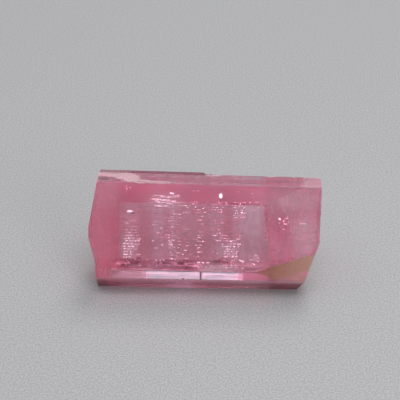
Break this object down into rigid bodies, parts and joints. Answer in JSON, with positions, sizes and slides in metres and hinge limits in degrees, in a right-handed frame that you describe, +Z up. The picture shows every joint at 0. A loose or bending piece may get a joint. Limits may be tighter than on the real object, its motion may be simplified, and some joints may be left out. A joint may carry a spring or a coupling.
{
  "type": "pink tourmaline crystal",
  "caption": "Short see-through pink tourmaline prism with lengthwise striations, low end planes and a chipped brown corner, lying on one prism face.",
  "frame": {"origin": "middle of the bounding box at the height of the resting face", "axes": "+X along the crystal's long c axis, -Y towards the wide front prism face, +Z up from the resting face"},
  "size_m": [0.026, 0.0104, 0.0127],
  "materials": {
    "pink_tourmaline": "clear pink stone with a vitreous lustre, fine striations along its length, and a brown film on the chipped corner"
  },
  "bodies": {
    "root": {"tourmaline_crystal": "pink_tourmaline"}
  },
  "joints": []
}
